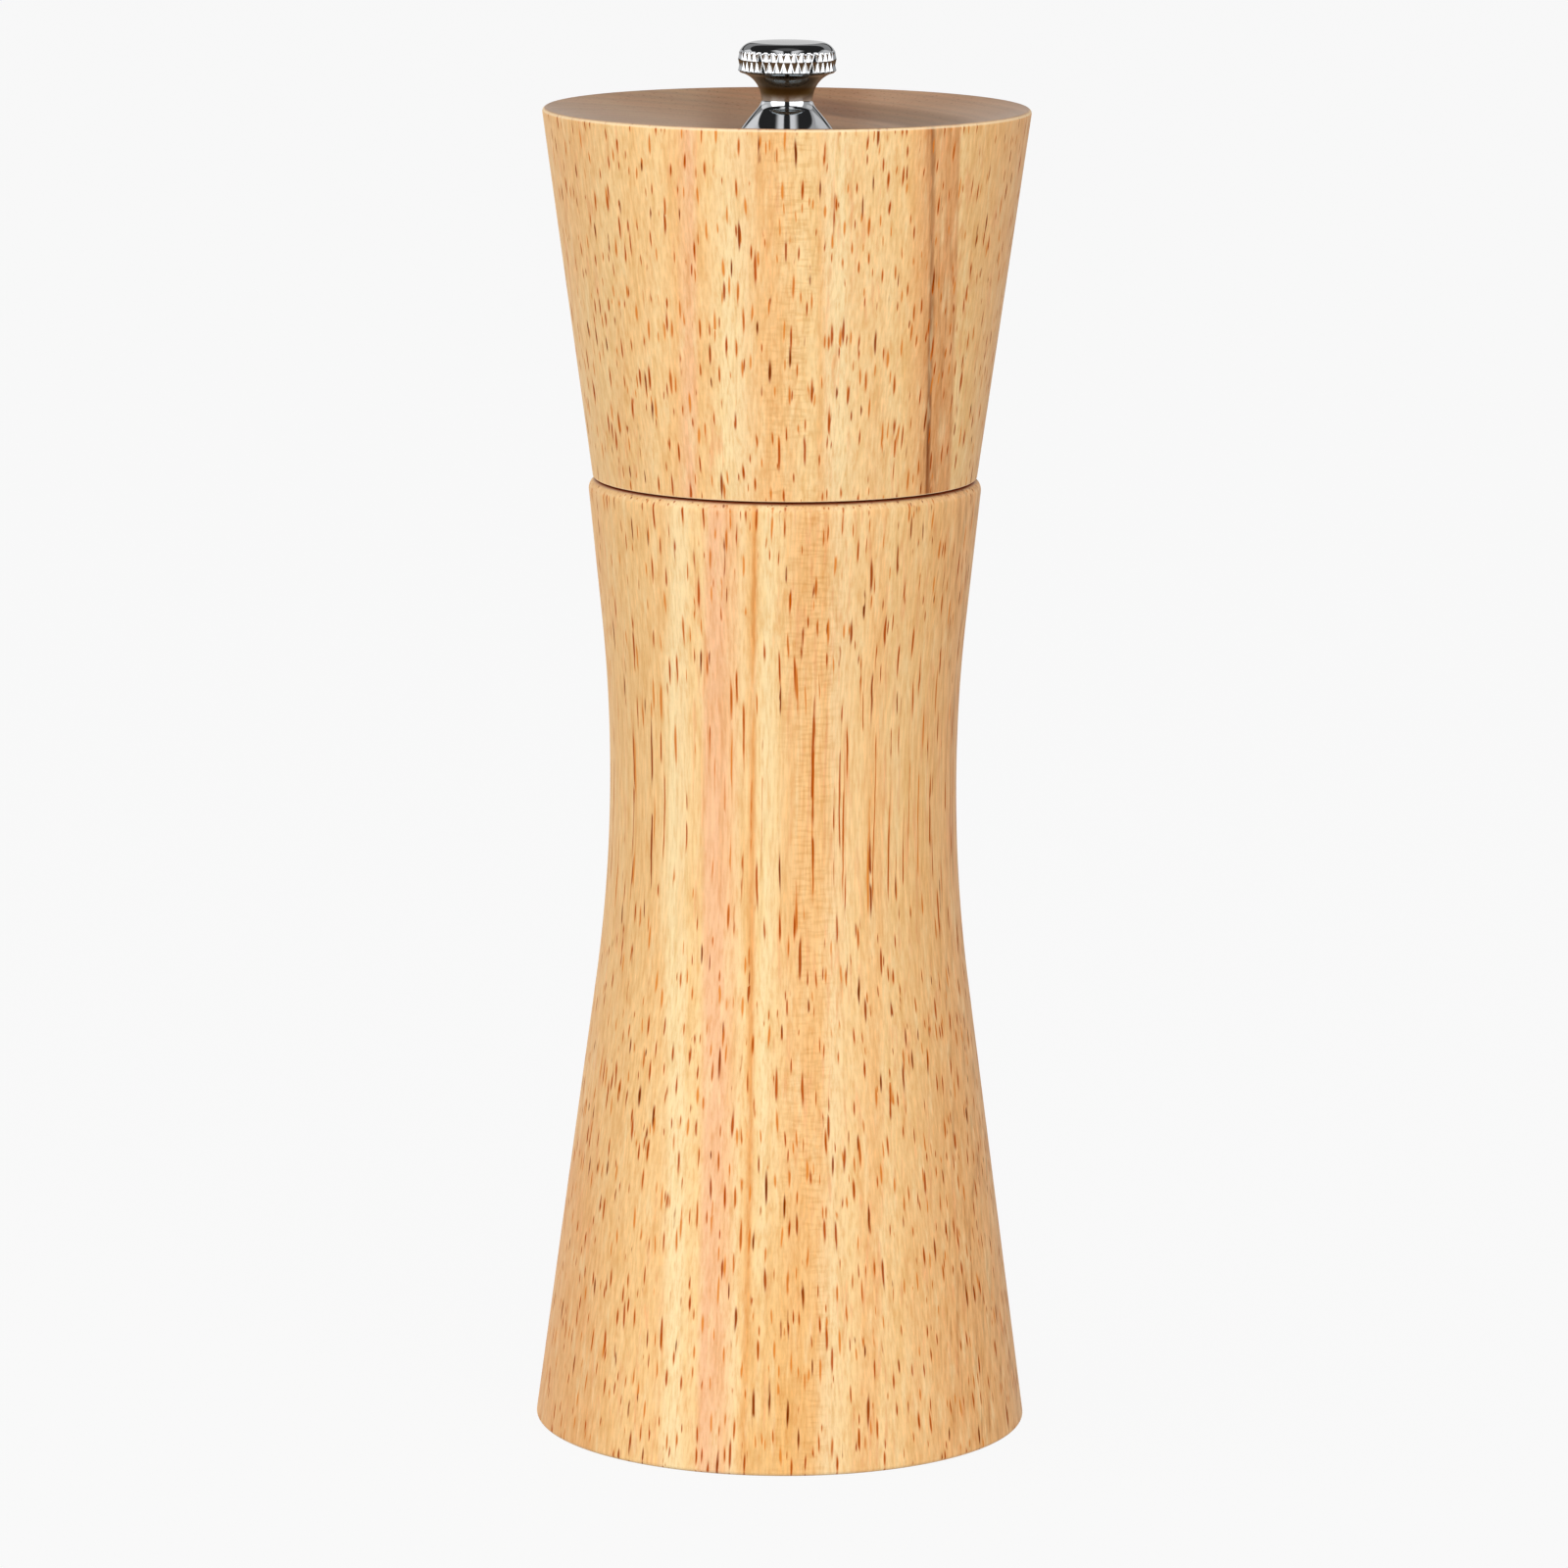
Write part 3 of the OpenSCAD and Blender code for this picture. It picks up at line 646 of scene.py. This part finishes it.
def chrome(name):
    """Bright plating, with a painted dark brown reflection around the throat and a painted grey one
    under the shoulder.
    """
    t = Tree(name)
    cloud = t.noise(t.stretched(0.6, 0.6, 0.6), 3.0)
    hairs = t.noise(t.stretched(4.0, 4.0, 40.0), 2.0)
    colour = t.mix(cloud, (0.50, 0.51, 0.53, 1), (0.58, 0.59, 0.60, 1))
    down = t.part(t.normal, 2)
    # Painted reflection: down-facing faces are darkened, brown round the throat and grey under the
    # shoulder
    painted_dark_reflection = t.mix(t.between(down, -0.4, -0.6), (0.13, 0.095, 0.035, 1), (0.19, 0.23, 0.25, 1))
    colour = t.mix(t.between(down, 0.08, -0.3), colour, painted_dark_reflection)
    roughness = t.math("MULTIPLY_ADD", hairs, 0.04, t.between(cloud, 0.3, 0.7, 0.03, 0.06))
    t.bump(hairs, 0.03, 0.00002)
    return t.finish(colour, roughness, Metallic=1.0)


def steel(name):
    t = Tree(name)
    cloud = t.noise(t.stretched(0.35, 0.35, 0.35), 4.0)
    brushed = t.noise(t.stretched(1.2, 1.2, 22.0), 2.0)
    tint = t.mix(cloud, srgb(196, 198, 204), srgb(214, 208, 196))
    colour = t.tinted(tint, t.ramp(brushed, [(0.3, 0.86), (0.7, 1.05)]))
    roughness = t.math("MULTIPLY_ADD", brushed, 0.2, 0.22)
    t.bump(brushed, 0.12, 0.00003)
    return t.finish(colour, roughness, Metallic=1.0)


def aluminium(name):
    t = Tree(name)
    drawn = t.noise(t.stretched(9.0, 9.0, 0.08), 3.0)
    scuffs = t.noise(t.stretched(0.5, 0.5, 0.12), 4.0, 0.65)
    tint = t.mix(scuffs, srgb(206, 208, 212), srgb(180, 182, 184))
    colour = t.tinted(tint, t.ramp(drawn, [(0.3, 0.88), (0.7, 1.04)]))
    roughness = t.math("MULTIPLY_ADD", drawn, 0.22, 0.28)
    t.bump(drawn, 0.2, 0.00003)
    return t.finish(colour, roughness, Metallic=1.0)


def nylon(name):
    t = Tree(name)
    grain = t.noise(t.stretched(5.0, 5.0, 5.0), 3.0, 0.6)
    flow = t.noise(t.stretched(0.15, 0.15, 0.4), 3.0)
    dust = t.between(t.noise(t.stretched(0.9, 0.9, 0.9, shift=(5, 9, 2)), 4.0, 0.7), 0.6, 0.75)
    colour = t.mix(flow, srgb(28, 28, 31), srgb(44, 43, 45))
    colour = t.mix(t.math("MULTIPLY", dust, 0.25), colour, srgb(110, 88, 66))
    roughness = t.math("MULTIPLY_ADD", grain, 0.25, 0.38)
    t.bump(grain, 0.15, 0.00005)
    return t.finish(colour, roughness, Specular_IOR_Level=0.45)


def ceramic(name):
    t = Tree(name)
    grain = t.noise(t.stretched(7.0, 7.0, 7.0), 2.0)
    cloud = t.noise(t.stretched(0.25, 0.25, 0.25), 3.0)
    dust = t.between(t.noise(t.stretched(0.7, 0.7, 1.1, shift=(2, 6, 1)), 4.0, 0.7), 0.55, 0.75)
    specks = t.between(t.noise(t.stretched(2.4, 2.4, 2.4, shift=(8, 1, 5)), 1.0), 0.68, 0.74)
    colour = t.mix(cloud, srgb(238, 235, 226), srgb(226, 220, 206))
    colour = t.mix(t.math("MULTIPLY", dust, 0.35), colour, srgb(176, 148, 112))
    colour = t.mix(t.math("MULTIPLY", specks, 0.6), colour, srgb(92, 70, 52))
    roughness = t.math("MULTIPLY_ADD", grain, 0.2, 0.3)
    t.bump(grain, 0.12, 0.00004)
    return t.finish(colour, roughness, Specular_IOR_Level=0.5)


# ---------------------------------------------------------------- the mill

MATERIALS = {
    "body_wood": wood("body_rubberwood", BODY_BANDS, (0.0, 0.0, 0.0), ring_r=90.0,
                      ripple_x=3.0, heart=(20.0, 40.0), edge_wear_and_highlight=0.12, painted_glow_share=0.7, coat=0.2),
    "head_wood": wood("head_rubberwood", HEAD_BANDS, (4.0, 17.0, 9.0), ring_r=55.0,
                      ripple_x=1.0, heart=(17.0, 20.8), edge_wear_and_highlight=0.6, painted_glow_share=0.0, coat=0.8),
    "knob_chrome": chrome("knob_chrome_plate"),
    "steel": steel("zinc_plated_steel"),
    "shaft_aluminium": aluminium("drawn_aluminium"),
    "black_nylon": nylon("moulded_nylon"),
    "ceramic": ceramic("sintered_ceramic"),
}


def place_piece(obj, body, node, slot):
    obj.data.materials.append(MATERIALS[slot])
    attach(obj, body)
    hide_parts(node)


place_piece(lathe("turned_body", body_outline(), TURNED_SEGMENTS), "base", "body_shell", "body_wood")
place_piece(lathe("turned_head", head_outline(), TURNED_SEGMENTS), "head", "head_shell", "head_wood")
knob_points = knob_outline()
place_piece(lathe("knurled_knob", knob_points, KNURL_SEGMENTS, knurled(knob_points), 50),
            "knob", "knob", "knob_chrome")

spring_low, spring_high = box_mm("spring")
spring = coil("coil_spring", spring_low.z, spring_high.z, spring_high.x - WIRE_R, WIRE_R,
              SPRING_TURNS)
spring.data.materials.append(MATERIALS["steel"])
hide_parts("spring")
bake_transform(spring)

replaced = {"body_shell", "head_shell", "knob", "spring"}
for row in frame["record"]["subparts"]:
    if row["node"] in replaced:
        continue
    for material_slot in frame["nodes"][row["node"]].material_slots:
        material_slot.link = "OBJECT"
        material_slot.material = MATERIALS[row["material_slot"]]


# ---------------------------------------------------------------- stage, lights and camera

BACKGROUND = srgb(248, 248, 248)
FLOOR_GLOW = srgb(250, 250, 250)
FLOOR_MATTE = (0.85, 0.85, 0.85, 1)
FLOOR_MATTE_SHARE = 0.03
FLOOR_HALF_WIDTH = 30.0  # metres


def floor():
    half = FLOOR_HALF_WIDTH
    mesh = bpy.data.meshes.new("floor")
    mesh.from_pydata([(-half, -half, 0), (half, -half, 0), (half, half, 0), (-half, half, 0)],
                     [], [(0, 1, 2, 3)])
    obj = bpy.data.objects.new("floor", mesh)
    bpy.context.scene.collection.objects.link(obj)
    material = bpy.data.materials.new("pale_floor")
    material.use_nodes = True
    nodes, links = material.node_tree.nodes, material.node_tree.links
    nodes.clear()
    glow = nodes.new("ShaderNodeEmission")
    glow.inputs["Color"].default_value = FLOOR_GLOW
    matte = nodes.new("ShaderNodeBsdfDiffuse")
    matte.inputs["Color"].default_value = FLOOR_MATTE
    both = nodes.new("ShaderNodeMixShader")
    both.inputs[0].default_value = FLOOR_MATTE_SHARE
    out = nodes.new("ShaderNodeOutputMaterial")
    links.new(glow.outputs[0], both.inputs[1])
    links.new(matte.outputs[0], both.inputs[2])
    links.new(both.outputs[0], out.inputs[0])
    mesh.materials.append(material)
    obj.visible_diffuse = False
    obj.visible_glossy = False


def world():
    """The room: a soft fill for the shading, and panels that show only in reflections."""
    made = bpy.data.worlds.new("studio")
    bpy.context.scene.world = made
    made.use_nodes = True
    nodes, links = made.node_tree.nodes, made.node_tree.links

    def calc(operation, a, b):
        node = nodes.new("ShaderNodeMath")
        node.operation = operation
        for socket, value in zip(node.inputs, (a, b)):
            if isinstance(value, bpy.types.NodeSocket):
                links.new(value, socket)
            else:
                socket.default_value = value
        return node.outputs[0]

    def fade(value, low, high):
        """Eases from 0 to 1 as the value goes from low to high."""
        node = nodes.new("ShaderNodeMapRange")
        node.interpolation_type = "SMOOTHSTEP"
        links.new(value, node.inputs[0])
        for socket, v in zip(node.inputs[1:5], (low, high, 0.0, 1.0)):
            socket.default_value = v
        return node.outputs[0]

    def window(value, low, high, soft=0.03):
        return calc("MULTIPLY", fade(value, low - soft, low), fade(value, high + soft, high))

    def panel(level, *factors):
        total = level
        for factor in factors:
            total = calc("MULTIPLY", total, factor)
        return total

    coordinates = nodes.new("ShaderNodeTexCoord")
    split = nodes.new("ShaderNodeSeparateXYZ")
    links.new(coordinates.outputs["Generated"], split.inputs[0])
    x, y, z = split.outputs
    aside = calc("ABSOLUTE", x, 0.0)
    front_pair = panel(2.5, fade(y, -0.18, -0.3), fade(aside, 0.16, 0.20), window(z, -0.3, 0.53))
    upper_pair = panel(1.0, fade(aside, 0.10, 0.15), fade(aside, 0.46, 0.26), fade(y, 0.0, -0.1),
                       window(z, 0.68, 0.95))
    ceiling = panel(0.12, fade(z, 0.95, 0.99))
    back_wall = panel(0.62, fade(y, 0.3, 0.7), fade(z, 0.22, 0.12))
    back_top = panel(0.3, fade(y, 0.0, 0.3), window(z, 0.3, 0.55))
    left = panel(0.75, fade(x, -0.58, -0.66), window(z, 0.05, 0.55))
    right = panel(0.5, fade(x, 0.58, 0.66), window(z, 0.05, 0.62))
    reflected = 0.03
    for light in (front_pair, upper_pair, ceiling, back_wall, back_top, left, right):
        reflected = calc("ADD", reflected, light)
    fill = calc("ADD", calc("MULTIPLY", x, -0.15), 0.36)

    path = nodes.new("ShaderNodeLightPath")
    mix = nodes.new("ShaderNodeMix")
    links.new(path.outputs["Is Glossy Ray"], mix.inputs[0])
    links.new(fill, mix.inputs[2])
    links.new(reflected, mix.inputs[3])
    seen = nodes.new("ShaderNodeMix")
    links.new(path.outputs["Is Camera Ray"], seen.inputs[0])
    links.new(mix.outputs[0], seen.inputs[2])
    seen.inputs[3].default_value = BACKGROUND[0]
    links.new(seen.outputs[0], nodes["Background"].inputs["Color"])


def softbox(name, azimuth, elevation, distance, width, height, power):
    """A soft panel that faces the mill. Azimuth 0 is in front, and positive is to the right."""
    data = bpy.data.lights.new(name, "AREA")
    data.shape = "RECTANGLE"
    data.size, data.size_y = width, height
    data.energy = power
    obj = bpy.data.objects.new(name, data)
    bpy.context.scene.collection.objects.link(obj)
    a, e = math.radians(azimuth), math.radians(elevation)
    target = Vector((0, 0, 0.1))
    away = Vector((math.sin(a) * math.cos(e), -math.cos(a) * math.cos(e), math.sin(e)))
    obj.location = target + away * distance
    obj.rotation_euler = away.to_track_quat("Z", "Y").to_euler()
    obj.visible_camera = False
    obj.visible_glossy = False


def camera(x, distance, height, pitch, roll, lens):
    """Looks along +Y and down by pitch degrees, from in front of the mill."""
    data = bpy.data.cameras.new("camera")
    data.lens = lens
    data.sensor_width = 36.0
    data.clip_start, data.clip_end = 0.05, 100.0
    obj = bpy.data.objects.new("camera", data)
    bpy.context.scene.collection.objects.link(obj)
    turn = Euler((math.radians(90 - pitch), 0, 0)).to_matrix().to_4x4()
    tilt = Matrix.Rotation(math.radians(roll), 4, "Z")
    obj.matrix_world = Matrix.Translation((x, -distance, height)) @ turn @ tilt
    bpy.context.scene.camera = obj


floor()
world()
softbox("key", azimuth=28, elevation=8, distance=1.2, width=0.6, height=0.5, power=9.4)
softbox("fill_left", azimuth=-50, elevation=8, distance=1.2, width=0.6, height=0.5, power=3.6)
softbox("side_left", azimuth=-85, elevation=10, distance=1.3, width=0.7, height=0.5, power=3.9)
softbox("overhead", azimuth=0, elevation=86, distance=1.25, width=0.9, height=0.5, power=3.2)
camera(x=0.0001, distance=0.92104, height=0.2455, pitch=10.133, roll=0.3245, lens=172.04)
bpy.context.scene.view_settings.view_transform = "Standard"
